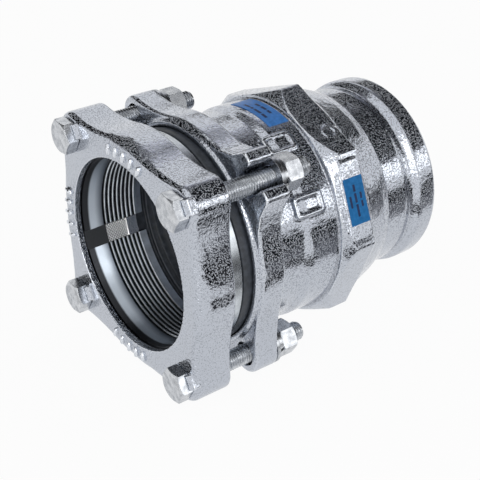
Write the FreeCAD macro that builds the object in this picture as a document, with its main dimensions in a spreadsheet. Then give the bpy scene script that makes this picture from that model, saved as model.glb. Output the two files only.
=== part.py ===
import FreeCAD, Part
import math
import os
import re
import Sketcher

# Flanged quick coupling for a 4 inch line. Frame: the origin is the centre of the pipe entry's front face,
# +X runs along the pipe axis towards the threaded socket, +Z is up. All sizes are in millimetres.

sizes = {
    # Bolts, on a square round the pipe axis
    "boltInset": (10.0, "how much less than the thrust ring's radius is half the bolt square"),
    "boltRadius": (6.0, "shank of an M12 bolt"),
    "boltLength": (85.0, "under the head"),
    "headHeight": (7.5, "bolt head"),
    "wrenchFlats": (19.0, "across the flats of heads and nuts"),
    "tipChamfer": (1.2, "end of the shank"),
    "washerPlay": (0.6, "bolt in the plain washer"),
    "washerWidth": (5.4, "plain washer, from bore to edge"),
    "washerThick": (2.5, "plain washer"),
    "springPlay": (0.5, "bolt in the spring washer"),
    "springWidth": (3.9, "spring washer, from bore to edge"),
    "springThick": (3.2, "spring washer"),
    "springGap": (2.0, "slit of the spring washer"),
    "nutHeight": (10.8, "nut"),
    "threadPlay": (0.05, "radial play of a nut on its bolt"),
    "nutChamfer": (0.8, "mouths of a nut's bore"),
    "wrenchLand": (0.2, "width that a bevel takes from a flat of heads and nuts"),
    "washerChamfer": (0.4, "edge of the plain washer"),
    "springLean": (25.0, "lean of the spring washer's slit"),
    # Gland flange
    "glandDepth": (25.0, "length along the pipe axis"),
    "glandWall": (8.5, "metal round the taper between the lugs"),
    "glandLugWall": (6.3, "metal round a bolt hole"),
    "scallop": (95.0, "radius of the hollow beside a lug"),
    "glandFrontRound": (3.6, "rounded outer edge at the front"),
    "glandRearRound": (1.6, "rounded outer edge at the rear"),
    "entryPlay": (1.0, "cast lip outside the clamp ring's bore"),
    "entryDepth": (4.5, "length of the cast lip"),
    "ringWall": (3.4, "clamp ring at the thin end of its taper, with its play"),
    "taperRise": (4.0, "rise of the taper towards the rear"),
    "glandHolePlay": (0.7, "bolt in the gland's hole"),
    "stopPlay": (0.4, "between a bolt head's flat and the stop beside it"),
    "stopHigh": (2.6, "stop that keeps a bolt head from turning"),
    "stopWide": (3.4, "stop, away from the head"),
    "stopLong": (9.0, "stop, along the flat"),
    "stopSlope": (2.2, "bevel of the stop's outer edge"),
    "markInner": (3.6, "raised bars on the face, from the entry's edge"),
    "markLong": (6.0, "raised bars, along the radius"),
    "markWide": (1.8, "raised bars, across"),
    "markStep": (6.4, "angle from bar to bar"),
    "markCount": (5, "bars in a row"),
    "markHigh": (0.9, "raised bars"),
    # Clamp ring, spacer and bridge plate
    "ringPlay": (0.3, "gap between ring and gland"),
    "gripRadius": (57.6, "inner radius of the clamp ring"),
    "ringLength": (42.2, "clamp ring"),
    "sleeveWall": (3.3, "rear sleeve of the clamp ring"),
    "leadLength": (8.2, "smooth lead-in"),
    "leadStep": (0.4, "step at the end of the lead-in"),
    "toothPlace": (13.7, "first gripping groove, from the ring's front"),
    "toothPitch": (3.0, "from groove to groove"),
    "toothCount": (8, "gripping grooves"),
    "toothDepth": (1.5, "gripping groove"),
    "splitWidth": (12.0, "gap of the open clamp ring"),
    "splitAngle": (-18.0, "place of the gap, from +Y about +X"),
    "spacerStep": (0.1, "spacer outside the clamp ring's bore"),
    "spacerPlay": (0.05, "spacer in the gap of the clamp ring"),
    "spacerLength": (14.7, "spacer"),
    "plateGap": (0.4, "between spacer and bridge plate"),
    "plateStep": (0.7, "bridge plate outside the clamp ring's bore"),
    "platePlay": (0.3, "bridge plate in the gap of the clamp ring"),
    "plateLength": (14.6, "knurled part of the bridge plate"),
    "plateLip": (2.5, "thick edge behind the knurled part"),
    "plateTail": (5.0, "end of the bridge plate behind its lip"),
    # Thrust ring and seal
    "sleevePlay": (0.4, "thrust ring and seal round the sleeve"),
    "thrustWall": (5.1, "thrust ring outside the sleeve, with its play"),
    "thrustLength": (10.0, "thrust ring"),
    "thrustChamfer": (0.8, "thrust ring"),
    "sealPlay": (0.3, "gap round the seal"),
    "heelRoom": (3.5, "room for the clamp ring in front of the seal's inner lip"),
    "sealStep": (0.3, "seal's bore outside that of the clamp ring"),
    "sealLip": (1.4, "widening of the seal's bore at its shoulder"),
    "sealLead": (3.0, "length of that widening"),
    # Body casting
    "mouthGap": (16.5, "from the gland's rear face to the body's front face"),
    "mouthPlay": (0.4, "thrust ring and seal in the mouth of the body"),
    "chamberTaper": (3.6, "narrowing of the seal chamber"),
    "chamberDepth": (20.9, "seal chamber"),
    "rimWall": (3.2, "raised rim round the mouth"),
    "rimHigh": (2.2, "rim in front of the flange"),
    "rimBevel": (0.6, "outer edge of the rim"),
    "flangeWall": (6.1, "body flange between the lugs, from the mouth"),
    "flangeThick": (18.5, "from the rim's face to the rear of the flange"),
    "flangeFrontRound": (2.4, "rounded front edge of the flange"),
    "flangeRearRound": (1.2, "rounded rear edge of the flange"),
    "lugWall": (4.9, "metal round a bolt hole of the body"),
    "boltRoom": (1.3, "bolt in a hole or fork of the body"),
    "forkReach": (12.5, "end of a fork's arms beyond the bolt"),
    "forkArm": (7.6, "thickness of an arm at its end"),
    "forkFlare": (4.0, "widening of the arms at the bolt"),
    "forkRoot": (12.0, "from the bolt back to the root of the arms"),
    "forkSpread": (8.5, "widening from the bolt to the root"),
    "forkRound": (2.8, "rounded ends of the arms"),
    "pipePlay": (1.0, "pipe room outside the clamp ring's bore"),
    "pipeDepth": (37.6, "from the seal chamber to the shoulder that stops the pipe"),
    "barrelWall": (6.9, "barrel behind the flange"),
    "waistLength": (19.0, "barrel behind the flange"),
    "bandStep": (2.0, "rise to the label band"),
    "bandSlope": (6.0, "length of that rise"),
    "bandLength": (19.5, "label band"),
    "collarStep": (8.0, "octagon's corners outside the band"),
    "collarLength": (22.0, "octagon collar"),
    "collarBevel": (8.2, "length of the bevel at the front corners"),
    "collarTail": (4.0, "slope under the rear of the collar"),
    "neckStep": (1.9, "neck behind the collar, outside the band"),
    "neckLength": (16.5, "neck"),
    "neckRise": (5.6, "neck's end outside the socket"),
    "ledgeLength": (7.0, "ledge in front of the socket"),
    "ledgeRise": (2.8, "ledge's end outside the socket"),
    "socketWall": (3.7, "metal round the pipe thread"),
    "socketLength": (23.0, "socket in front of its bead"),
    "beadRise": (2.4, "bead at the threaded end"),
    "beadSlope": (4.0, "length of the slope up to the bead"),
    "beadLength": (17.0, "bead with its slope"),
    "beadRound": (2.0, "rounded edges of the bead"),
    "waterWay": (51.5, "bore between pipe and thread"),
    "threadRadius": (55.1, "inner radius of the pipe thread"),
    "threadLength": (40.0, "pipe thread"),
    "threadFlare": (2.1, "chamfered mouth of the thread"),
    # Raised frames on the barrel, pad, button and labels
    "frameLong": (20.0, "frame, along the axis"),
    "frameWide": (13.0, "frame, round the axis"),
    "frameBar": (2.4, "bars of the frame"),
    "frameHigh": (1.2, "frame above the band"),
    "frameSunk": (4.0, "foot of the frame in the barrel"),
    "frameCorner": (2.6, "rounded corners of the frame"),
    "framePlace": (26.0, "middle of a frame behind the flange"),
    "frameLow": (28.5, "lower frame, from -Y about X"),
    "frameUp": (62.0, "upper frame, from -Y about X"),
    "padAngle": (22.5, "place of the pad's flat, from -Y about X"),
    "padHigh": (1.0, "height of the pad on its flat"),
    "padLong": (48.0, "pad across the flat"),
    "padWide": (15.5, "pad along the axis"),
    "padShift": (2.0, "pad behind the middle of the collar"),
    "padCorner": (3.0, "rounded corners of the pad"),
    "buttonRadius": (5.2, "raised round button on the next flat"),
    "buttonBore": (2.8, "hollow of the button"),
    "buttonHigh": (0.8, "button"),
    "buttonShift": (-12.0, "button across its flat"),
    "labelThick": (0.3, "label film"),
    "flatLabelLong": (28.0, "label on the pad"),
    "flatLabelWide": (14.0, "label on the pad"),
    "bandLabelWide": (14.0, "label on the barrel, along the axis"),
    "bandLabelAngle": (32.0, "label on the barrel, round the axis"),
    "bandLabelPlace": (91.0, "middle of the barrel label, from +Y about X"),
    "labelGap": (2.0, "between the barrel label and the collar"),
    "past": (1.0, "how far a cut runs past the metal"),
}

made = {
    # Radii
    "entryRadius": "Sizes.gripRadius + Sizes.entryPlay",
    "taperSmall": "Sizes.gripRadius + Sizes.ringWall",
    "taperLarge": "Made.taperSmall + Sizes.taperRise",
    "glandMid": "Made.taperLarge + Sizes.glandWall",
    "sleeveRadius": "Sizes.gripRadius + Sizes.sleeveWall",
    "sleeveRoom": "Made.sleeveRadius + Sizes.sleevePlay",
    "thrustRadius": "Made.sleeveRadius + Sizes.thrustWall",
    "boltHalf": "Made.thrustRadius - Sizes.boltInset",
    "glandHole": "Sizes.boltRadius + Sizes.glandHolePlay",
    "glandLug": "Made.glandHole + Sizes.glandLugWall",
    "mouthRadius": "Made.thrustRadius + Sizes.mouthPlay",
    "chamberRadius": "Made.mouthRadius - Sizes.chamberTaper",
    "rimRadius": "Made.mouthRadius + Sizes.rimWall",
    "flangeRadius": "Made.mouthRadius + Sizes.flangeWall",
    "slotHalf": "Sizes.boltRadius + Sizes.boltRoom",
    "lugRadius": "Made.slotHalf + Sizes.lugWall",
    "forkTip": "Made.slotHalf + Sizes.forkArm",
    "sealBore": "Sizes.gripRadius + Sizes.sealStep",
    "pipeRoom": "Sizes.gripRadius + Sizes.pipePlay",
    "waistRadius": "Made.pipeRoom + Sizes.barrelWall",
    "bandRadius": "Made.waistRadius + Sizes.bandStep",
    "collarCorner": "Made.bandRadius + Sizes.collarStep",
    "collarFlat": "Made.collarCorner * cos(22.5)",
    "socketRadius": "Sizes.threadRadius + Sizes.socketWall",
    "beadRadius": "Made.socketRadius + Sizes.beadRise",
    "washerBore": "Sizes.boltRadius + Sizes.washerPlay",
    "washerRadius": "Made.washerBore + Sizes.washerWidth",
    "springBore": "Sizes.boltRadius + Sizes.springPlay",
    "springRadius": "Made.springBore + Sizes.springWidth",
    "nutBore": "Sizes.boltRadius + Sizes.threadPlay",
    # Places along the axis
    "ringStart": "Sizes.entryDepth + Sizes.ringPlay",
    "ringShoulder": "Sizes.glandDepth - Sizes.ringPlay",
    "ringEnd": "Made.ringStart + Sizes.ringLength",
    "leadEnd": "Made.ringStart + Sizes.leadLength",
    "toothStart": "Made.ringStart + Sizes.toothPlace",
    "spacerEnd": "Made.ringStart + Sizes.spacerLength",
    "plateStart": "Made.spacerEnd + Sizes.plateGap",
    "lipStart": "Made.plateStart + Sizes.plateLength",
    "lipEnd": "Made.lipStart + Sizes.plateLip",
    "plateEnd": "Made.lipEnd + Sizes.plateTail",
    "thrustFront": "Sizes.glandDepth + Sizes.ringPlay",
    "thrustBack": "Made.thrustFront + Sizes.thrustLength",
    "mouthFront": "Sizes.glandDepth + Sizes.mouthGap",
    "flangeFront": "Made.mouthFront + Sizes.rimHigh",
    "flangeBack": "Made.mouthFront + Sizes.flangeThick",
    "chamberEnd": "Made.mouthFront + Sizes.chamberDepth",
    "pipeStop": "Made.chamberEnd + Sizes.pipeDepth",
    "waistEnd": "Made.flangeBack + Sizes.waistLength",
    "bandStart": "Made.waistEnd + Sizes.bandSlope",
    "collarFront": "Made.bandStart + Sizes.bandLength",
    "collarBack": "Made.collarFront + Sizes.collarLength",
    "padMiddle": "Made.collarFront + Sizes.collarLength / 2 + Sizes.padShift",
    "neckEnd": "Made.collarBack + Sizes.neckLength",
    "ledgeEnd": "Made.neckEnd + Sizes.ledgeLength",
    "beadStart": "Made.ledgeEnd + Sizes.socketLength",
    "beadTop": "Made.beadStart + Sizes.beadSlope",
    "bodyEnd": "Made.beadStart + Sizes.beadLength",
    "threadStart": "Made.bodyEnd - Sizes.threadLength",
    "nutFront": "Made.flangeBack + Sizes.washerThick + Sizes.springThick",
}

doc = FreeCAD.newDocument("flanged_quick_coupling")
sheet = doc.addObject("Spreadsheet::Sheet", "Sizes")
for row, (alias, (number, words)) in enumerate(sizes.items(), 1):
    sheet.set("A%d" % row, words)
    sheet.set("B%d" % row, str(number))
    sheet.setAlias("B%d" % row, alias)
doc.recompute()


def full(expression):
    """Expression in which each made value is written out in cells of the sheet."""
    return re.sub(r"Made\.(\w+)", lambda found: "(%s)" % full(made[found.group(1)]), expression)


def value(expression):
    """Number that an expression on the sheet gives."""
    result = sheet.evalExpression(full(expression))
    return float(getattr(result, "Value", result))


def bind(item, key, expression):
    item.setExpression(key, full(expression))


def vector(u, v, w=0.0):
    return FreeCAD.Vector(u, v, w)


# Helpers for bodies, sketches and features

def newBody(label):
    body = doc.addObject("PartDesign::Body", label)
    body.Label = label
    return body


def newSketch(body, name, role, offset="0"):
    """Sketch on one of the body's own planes, moved along its normal."""
    plane = [item for item in body.Origin.OriginFeatures if item.Role == role][0]
    sketch = body.newObject("Sketcher::SketchObject", name)
    sketch.AttachmentSupport = [(plane, "")]
    sketch.MapMode = "FlatFace"
    sketch.AttachmentOffset = FreeCAD.Placement(vector(0, 0, value(offset)), FreeCAD.Rotation())
    if offset != "0":
        bind(sketch, "AttachmentOffset.Base.z", offset)
    doc.recompute()
    return sketch


def bindDistance(sketch, kind, geometry, point, expression):
    """Distance of a point from the sketch's origin, bound to the sheet."""
    index = sketch.addConstraint(Sketcher.Constraint(kind, -1, 1, geometry, point, value(expression)))
    bind(sketch, "Constraints[%d]" % index, expression)


def bindRadius(sketch, geometry, expression):
    index = sketch.addConstraint(Sketcher.Constraint("Radius", geometry, value(expression)))
    bind(sketch, "Constraints[%d]" % index, expression)


def drawPolygon(sketch, corners):
    """Closed outline whose corners are pairs of expressions."""
    first = sketch.GeometryCount
    points = [vector(value(u), value(v)) for u, v in corners]
    count = len(points)
    for i in range(count):
        sketch.addGeometry(Part.LineSegment(points[i], points[(i + 1) % count]), False)
    for i in range(count):
        sketch.addConstraint(
            Sketcher.Constraint("Coincident", first + i, 2, first + (i + 1) % count, 1))
    for i, (u, v) in enumerate(corners):
        bindDistance(sketch, "DistanceX", first + i, 1, u)
        bindDistance(sketch, "DistanceY", first + i, 1, v)


def drawCircle(sketch, u, v, radius):
    centre = vector(value(u), value(v))
    index = sketch.addGeometry(Part.Circle(centre, vector(0, 0, 1), value(radius)), False)
    bindDistance(sketch, "DistanceX", index, 3, u)
    bindDistance(sketch, "DistanceY", index, 3, v)
    bindRadius(sketch, index, radius)


def drawArc(sketch, centre, radius, start, end):
    """Arc that runs counter-clockwise from point start to point end."""
    first = math.atan2(start.y - centre.y, start.x - centre.x)
    last = math.atan2(end.y - centre.y, end.x - centre.x)
    if last < first:
        last += 2 * math.pi
    circle = Part.Circle(centre, vector(0, 0, 1), radius)
    return sketch.addGeometry(Part.ArcOfCircle(circle, first, last), False)


def drawLobes(sketch, midRadius, lugRadius):
    """Round outline with four lugs, each joined to the round by two hollow arcs."""
    half = value("Made.boltHalf")
    mid = value(midRadius)
    lug = value(lugRadius)
    hollow = value("Sizes.scallop")
    reach = half * math.sqrt(2)
    far = mid + hollow
    swing = math.acos((far ** 2 + reach ** 2 - (lug + hollow) ** 2) / (2 * far * reach))
    origin = vector(0, 0)
    lobes = []
    for quarter in range(4):
        middle = math.pi / 4 + quarter * math.pi / 2
        centre = vector(reach * math.cos(middle), reach * math.sin(middle))
        sides = []
        for side in (-1, 1):
            angle = middle + side * swing
            pivot = vector(far * math.cos(angle), far * math.sin(angle))
            onLug = centre + (pivot - centre).normalize() * lug
            onMid = vector(mid * math.cos(angle), mid * math.sin(angle))
            sides.append((pivot, onLug, onMid))
        before, after = sides
        round_ = drawArc(sketch, centre, lug, before[1], after[1])
        hollowBefore = drawArc(sketch, before[0], hollow, before[1], before[2])
        hollowAfter = drawArc(sketch, after[0], hollow, after[2], after[1])
        lobes.append((centre, round_, hollowBefore, hollowAfter, before[2], after[2]))
    mids = []
    for quarter in range(4):
        nextLobe = lobes[(quarter + 1) % 4]
        mids.append(drawArc(sketch, origin, mid, lobes[quarter][5], nextLobe[4]))
    for quarter in range(4):
        centre, round_, hollowBefore, hollowAfter, _, _ = lobes[quarter]
        for kind, place in (("DistanceX", centre.x), ("DistanceY", centre.y)):
            sign = "" if place > 0 else "-"
            bindDistance(sketch, kind, round_, 3, sign + "Made.boltHalf")
        bindRadius(sketch, round_, lugRadius)
        bindRadius(sketch, hollowBefore, "Sizes.scallop")
        bindRadius(sketch, hollowAfter, "Sizes.scallop")
        sketch.addConstraint(Sketcher.Constraint("Coincident", mids[quarter], 3, -1, 1))
        bindRadius(sketch, mids[quarter], midRadius)
        following = lobes[(quarter + 1) % 4][2]
        for one, onePoint, other, otherPoint in (
                (round_, 1, hollowBefore, 1),
                (round_, 2, hollowAfter, 2),
                (mids[quarter], 1, hollowAfter, 1),
                (mids[quarter], 2, following, 2)):
            sketch.addConstraint(
                Sketcher.Constraint("Tangent", one, onePoint, other, otherPoint))


def settle(feature):
    """Recomputes and stops if the feature failed."""
    doc.recompute()
    assert "Invalid" not in feature.State, feature.Name


def addFeature(body, kind, name, sketch, **settings):
    """Sketch-based feature; text settings are expressions, others plain values."""
    feature = body.newObject("PartDesign::" + kind, name)
    feature.Profile = sketch
    for key, setting in settings.items():
        if isinstance(setting, str):
            bind(feature, key, setting)
        else:
            setattr(feature, key, setting)
    settle(feature)
    return feature


def addPad(body, name, sketch, length):
    return addFeature(body, "Pad", name, sketch, Length=length)


def addPocket(body, name, sketch, length):
    """Cut from the sketch towards its normal; the solid has to lose volume."""
    before = body.Shape.Volume
    feature = addFeature(body, "Pocket", name, sketch, Length=length, Reversed=True)
    assert body.Shape.Volume < before - 0.1, name
    return feature


def addTurned(body, name, corners, cut=False, angle=360.0):
    """Profile of (place along the axis, radius) pairs, turned about the X axis."""
    before = body.Shape.Volume if cut else 0.0
    sketch = newSketch(body, name + "Profile", "XY_Plane")
    drawPolygon(sketch, corners)
    kind = "Groove" if cut else "Revolution"
    feature = addFeature(
        body, kind, name, sketch, ReferenceAxis=(sketch, ["H_Axis"]), Angle=angle)
    assert not cut or body.Shape.Volume < before - 0.1, name
    return feature


def addFillet(body, name, base, edges, radius):
    assert edges, name
    feature = body.newObject("PartDesign::Fillet", name)
    feature.Base = (base, edges)
    bind(feature, "Radius", radius)
    settle(feature)
    return feature


def ringEdges(feature, places):
    """Names of the edges that are circles round the X axis at the given (place, radius) pairs."""
    wanted = [(value(along), value(radius)) for along, radius in places]
    names = []
    for number, edge in enumerate(feature.Shape.Edges, 1):
        curve = edge.Curve
        if curve.TypeId != "Part::GeomCircle" or math.hypot(curve.Center.y, curve.Center.z) > 0.01:
            continue
        if any(abs(curve.Center.x - along) < 0.01 and abs(curve.Radius - radius) < 0.01
               for along, radius in wanted):
            names.append("Edge%d" % number)
    return names


def flatEdges(feature, along):
    """Names of the edges that lie in the plane at the given place along the axis."""
    place = value(along)
    names = []
    for number, edge in enumerate(feature.Shape.Edges, 1):
        box = edge.BoundBox
        if abs(box.XMin - place) < 0.01 and abs(box.XMax - place) < 0.01:
            names.append("Edge%d" % number)
    return names


def drawHexagon(sketch, flats):
    """Hexagon with two flats level, across its flats as given."""
    half = "(%s / 2)" % flats
    corner = "(%s / sqrt(3))" % flats
    side = "(%s / (2 * sqrt(3)))" % flats
    drawPolygon(sketch, [
        (corner, "0"), (side, half), ("-" + side, half),
        ("-" + corner, "0"), ("-" + side, "-" + half), (side, "-" + half)])


def roundedRectangle(sketch, halfU, halfV, corner, middleU="0"):
    """Rectangle with round corners, its sides bound to expressions."""
    reachU = value(halfU)
    reachV = value(halfV)
    bend = value(corner)
    shift = value(middleU)
    centres = []
    for signU, signV in ((1, 1), (-1, 1), (-1, -1), (1, -1)):
        centres.append((signU, signV, vector(
            shift + signU * (reachU - bend), signV * (reachV - bend))))
    arcs = []
    for quarter, (signU, signV, centre) in enumerate(centres):
        start = quarter * math.pi / 2
        circle = Part.Circle(centre, vector(0, 0, 1), bend)
        arcs.append(sketch.addGeometry(
            Part.ArcOfCircle(circle, start, start + math.pi / 2), False))
    for quarter in range(4):
        here = sketch.Geometry[arcs[quarter]].EndPoint
        there = sketch.Geometry[arcs[(quarter + 1) % 4]].StartPoint
        line = sketch.addGeometry(Part.LineSegment(here, there), False)
        sketch.addConstraint(Sketcher.Constraint("Coincident", line, 1, arcs[quarter], 2))
        sketch.addConstraint(
            Sketcher.Constraint("Coincident", line, 2, arcs[(quarter + 1) % 4], 1))
    for quarter, (signU, signV, centre) in enumerate(centres):
        alongU = "%s %s (%s - %s)" % (middleU, "+" if signU > 0 else "-", halfU, corner)
        alongV = "%s(%s - %s)" % ("" if signV > 0 else "-", halfV, corner)
        bindDistance(sketch, "DistanceX", arcs[quarter], 3, alongU)
        bindDistance(sketch, "DistanceY", arcs[quarter], 3, alongV)
        bindRadius(sketch, arcs[quarter], corner)
        level = "Horizontal" if quarter % 2 == 0 else "Vertical"
        upright = "Vertical" if quarter % 2 == 0 else "Horizontal"
        sketch.addConstraint(Sketcher.Constraint(level, arcs[quarter], 3, arcs[quarter], 1))
        sketch.addConstraint(Sketcher.Constraint(upright, arcs[quarter], 3, arcs[quarter], 2))


# Gland flange: lobed casting with a lip round the pipe entry and a taper that closes the clamp ring

def buildGland():
    body = newBody("gland_flange")
    outline = newSketch(body, "glandOutline", "YZ_Plane")
    drawLobes(outline, "Made.glandMid", "Made.glandLug")
    form = addPad(body, "glandForm", outline, "Sizes.glandDepth")
    front = addFillet(body, "glandFront", form, flatEdges(form, "0"), "Sizes.glandFrontRound")
    addFillet(body, "glandRear", front, flatEdges(front, "Sizes.glandDepth"), "Sizes.glandRearRound")
    addStops(body)
    addMarks(body)
    addTurned(body, "glandTaper", [
        ("-Sizes.stopHigh - Sizes.past", "0"),
        ("-Sizes.stopHigh - Sizes.past", "Made.entryRadius"),
        ("Sizes.entryDepth", "Made.entryRadius"),
        ("Sizes.entryDepth", "Made.taperSmall"),
        ("Sizes.glandDepth", "Made.taperLarge"),
        ("Sizes.glandDepth + Sizes.past", "Made.taperLarge"),
        ("Sizes.glandDepth + Sizes.past", "0")], cut=True)
    holes = newSketch(body, "glandHoles", "YZ_Plane", "-Sizes.past")
    for signY in ("", "-"):
        for signZ in ("", "-"):
            drawCircle(holes, signY + "Made.boltHalf", signZ + "Made.boltHalf", "Made.glandHole")
    addPocket(body, "glandBolts", holes, "Sizes.glandDepth + 2 * Sizes.past")
    return body


def addStops(body):
    """Bevelled block beside one flat of each bolt head, which keeps the head from turning."""
    outline = newSketch(body, "stopOutline", "YZ_Plane", "-Sizes.stopHigh")
    near = "(Sizes.wrenchFlats / 2 + Sizes.stopPlay)"
    far = "(%s + Sizes.stopWide)" % near
    half = "(Sizes.stopLong / 2)"
    for number in range(1, 5):
        signY, signZ = cornerSign(number)
        drawPolygon(outline, [
            ("%sMade.boltHalf - %s * cos(30) - %s * sin(30)" % (signY, away, along),
             "%sMade.boltHalf + %s * sin(30) - %s * cos(30)" % (signZ, away, along))
            for away, along in ((near, "-" + half), (near, half), (far, half), (far, "-" + half))])
    stops = addPad(body, "stopForm", outline, "Sizes.stopHigh + Sizes.glandFrontRound")
    reach = value(near) + value("Sizes.stopWide") / 2
    half = value("Made.boltHalf")
    edges = []
    for number, edge in enumerate(stops.Shape.Edges, 1):
        middle = edge.CenterOfMass
        level = abs(middle.x + value("Sizes.stopHigh")) < 0.01
        away = math.hypot(abs(middle.y) - half, abs(middle.z) - half)
        if level and away > reach + 1:
            edges.append("Edge%d" % number)
    bevel = body.newObject("PartDesign::Chamfer", "stopBevels")
    bevel.Base = (stops, edges)
    bind(bevel, "Size", "Sizes.stopSlope")
    settle(bevel)


def addMarks(body):
    """Rows of plain raised bars on the face: above, at the far side and below the entry."""
    outline = newSketch(body, "markOutline", "YZ_Plane", "-Sizes.markHigh")
    inner = "(Made.entryRadius + Sizes.markInner)"
    outer = "(%s + Sizes.markLong)" % inner
    half = "(Sizes.markWide / 2)"
    count = int(value("Sizes.markCount"))
    for middle in (93, 0, -89):
        for k in range(count):
            turn = "(%d + Sizes.markStep * (%d - (Sizes.markCount - 1) / 2))" % (middle, k)
            drawPolygon(outline, [
                ("%s * cos(%s) - %s * sin(%s)" % (reach, turn, side, turn),
                 "%s * sin(%s) + %s * cos(%s)" % (reach, turn, side, turn))
                for reach, side in ((inner, "-" + half), (outer, "-" + half), (outer, half), (inner, half))])
    addPad(body, "markForm", outline, "Sizes.markHigh + Sizes.past")


# Clamp ring: split ring with an outer taper, a rear sleeve and gripping grooves inside

def buildClampRing():
    body = newBody("clamp_ring")
    slope = "((Made.taperLarge - Made.taperSmall) / (Sizes.glandDepth - Sizes.entryDepth))"
    front = "Made.ringStart"
    shoulder = "Made.ringShoulder"
    taperAt = "(Made.taperSmall - Sizes.ringPlay + %s * (%s - Sizes.entryDepth))"
    addTurned(body, "ringForm", [
        (front, "Sizes.gripRadius"),
        (front, taperAt % (slope, front)),
        (shoulder, taperAt % (slope, shoulder)),
        (shoulder, "Made.sleeveRadius"),
        ("Made.ringEnd", "Made.sleeveRadius"),
        ("Made.ringEnd", "Sizes.gripRadius + Sizes.leadStep"),
        ("Made.leadEnd", "Sizes.gripRadius + Sizes.leadStep"),
        ("Made.leadEnd", "Sizes.gripRadius")])
    groove = addTurned(body, "toothGroove", [
        ("Made.toothStart", "Sizes.gripRadius - Sizes.past"),
        ("Made.toothStart", "Sizes.gripRadius + Sizes.leadStep"),
        ("Made.toothStart + Sizes.toothPitch * 0.3", "Sizes.gripRadius + Sizes.toothDepth"),
        ("Made.toothStart + Sizes.toothPitch * 0.5", "Sizes.gripRadius + Sizes.toothDepth"),
        ("Made.toothStart + Sizes.toothPitch * 0.8", "Sizes.gripRadius + Sizes.leadStep"),
        ("Made.toothStart + Sizes.toothPitch * 0.8", "Sizes.gripRadius - Sizes.past")], cut=True)
    before = body.Shape.Volume
    rows = body.newObject("PartDesign::LinearPattern", "toothRows")
    rows.Originals = [groove]
    axis = [item for item in body.Origin.OriginFeatures if item.Role == "X_Axis"][0]
    rows.Direction = (axis, [""])
    bind(rows, "Length", "Sizes.toothPitch * (Sizes.toothCount - 1)")
    bind(rows, "Occurrences", "Sizes.toothCount")
    body.Tip = rows
    doc.recompute()
    assert body.Shape.Volume < before, "toothRows"
    split = newSketch(body, "ringSplitOutline", "YZ_Plane", "Sizes.entryDepth")
    drawPolygon(split, [
        ("0", "-Sizes.splitWidth / 2"),
        ("Made.taperLarge + Sizes.past", "-Sizes.splitWidth / 2"),
        ("Made.taperLarge + Sizes.past", "Sizes.splitWidth / 2"),
        ("0", "Sizes.splitWidth / 2")])
    addPocket(body, "ringSplit", split, "Made.ringEnd")
    turnAboutX(body, "Sizes.splitAngle")
    return body


def turnAboutX(body, angle):
    """Placement of a sub-part turned about the pipe axis."""
    body.Placement = FreeCAD.Placement(
        vector(0, 0), FreeCAD.Rotation(vector(1, 0, 0), value(angle)))
    doc.recompute()


def buildInSplit(label, corners, play):
    """Piece that fills the split of the clamp ring: a turned form kept only between the two ends."""
    body = newBody(label)
    addTurned(body, label + "Form", corners)
    half = "(Sizes.splitWidth / 2 - %s)" % play
    keep = newSketch(body, label + "Outside", "YZ_Plane")
    far = "(Made.taperLarge + Sizes.past)"
    drawPolygon(keep, [
        ("0", half), (far, half), (far, far), ("-" + far, far),
        ("-" + far, "-" + far), (far, "-" + far), (far, "-" + half), ("0", "-" + half)])
    addPocket(body, label + "Ends", keep, "Made.ringEnd + Sizes.past")
    turnAboutX(body, "Sizes.splitAngle")
    return body


def buildSpacer():
    return buildInSplit("ring_spacer", [
        ("Made.ringStart", "Sizes.gripRadius + Sizes.spacerStep"),
        ("Made.ringStart", "Made.taperSmall - Sizes.ringPlay"),
        ("Made.spacerEnd", "Made.taperSmall - Sizes.ringPlay"),
        ("Made.spacerEnd", "Sizes.gripRadius + Sizes.spacerStep")], "Sizes.spacerPlay")


def buildPlate():
    return buildInSplit("bridge_plate", [
        ("Made.plateStart", "Sizes.gripRadius + Sizes.plateStep"),
        ("Made.plateStart", "Made.sleeveRadius"),
        ("Made.plateEnd", "Made.sleeveRadius"),
        ("Made.plateEnd", "Sizes.gripRadius + Sizes.plateStep"),
        ("Made.lipEnd", "Sizes.gripRadius + Sizes.plateStep"),
        ("Made.lipEnd", "Sizes.gripRadius"),
        ("Made.lipStart", "Sizes.gripRadius"),
        ("Made.lipStart", "Sizes.gripRadius + Sizes.plateStep")], "Sizes.platePlay")


# Thrust ring and rubber seal

def buildThrustRing():
    body = newBody("thrust_ring")
    addTurned(body, "thrustForm", [
        ("Made.thrustFront", "Made.sleeveRoom"),
        ("Made.thrustFront", "Made.thrustRadius - Sizes.thrustChamfer"),
        ("Made.thrustFront + Sizes.thrustChamfer", "Made.thrustRadius"),
        ("Made.thrustBack - Sizes.thrustChamfer", "Made.thrustRadius"),
        ("Made.thrustBack", "Made.thrustRadius - Sizes.thrustChamfer"),
        ("Made.thrustBack", "Made.sleeveRoom")])
    return body


def buildSeal():
    body = newBody("rubber_seal")
    front = "(Made.thrustBack + Sizes.sealPlay)"
    rear = "(Made.chamberEnd - Sizes.sealPlay)"
    heel = "(Made.ringEnd + Sizes.heelRoom)"
    addTurned(body, "sealForm", [
        (front, "Made.sleeveRoom"),
        (front, "Made.thrustRadius - Sizes.thrustChamfer"),
        (front + " + Sizes.thrustChamfer", "Made.thrustRadius"),
        ("Made.mouthFront - Sizes.sealPlay", "Made.thrustRadius"),
        (rear, "Made.chamberRadius - Sizes.sealPlay"),
        (rear, "Made.sealBore + Sizes.sealLip"),
        (rear + " - Sizes.sealLead", "Made.sealBore"),
        (heel, "Made.sealBore"),
        (heel, "Made.sleeveRoom")])
    return body


# Body casting: lobed flange, barrel, octagon collar and threaded socket in one piece

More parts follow.
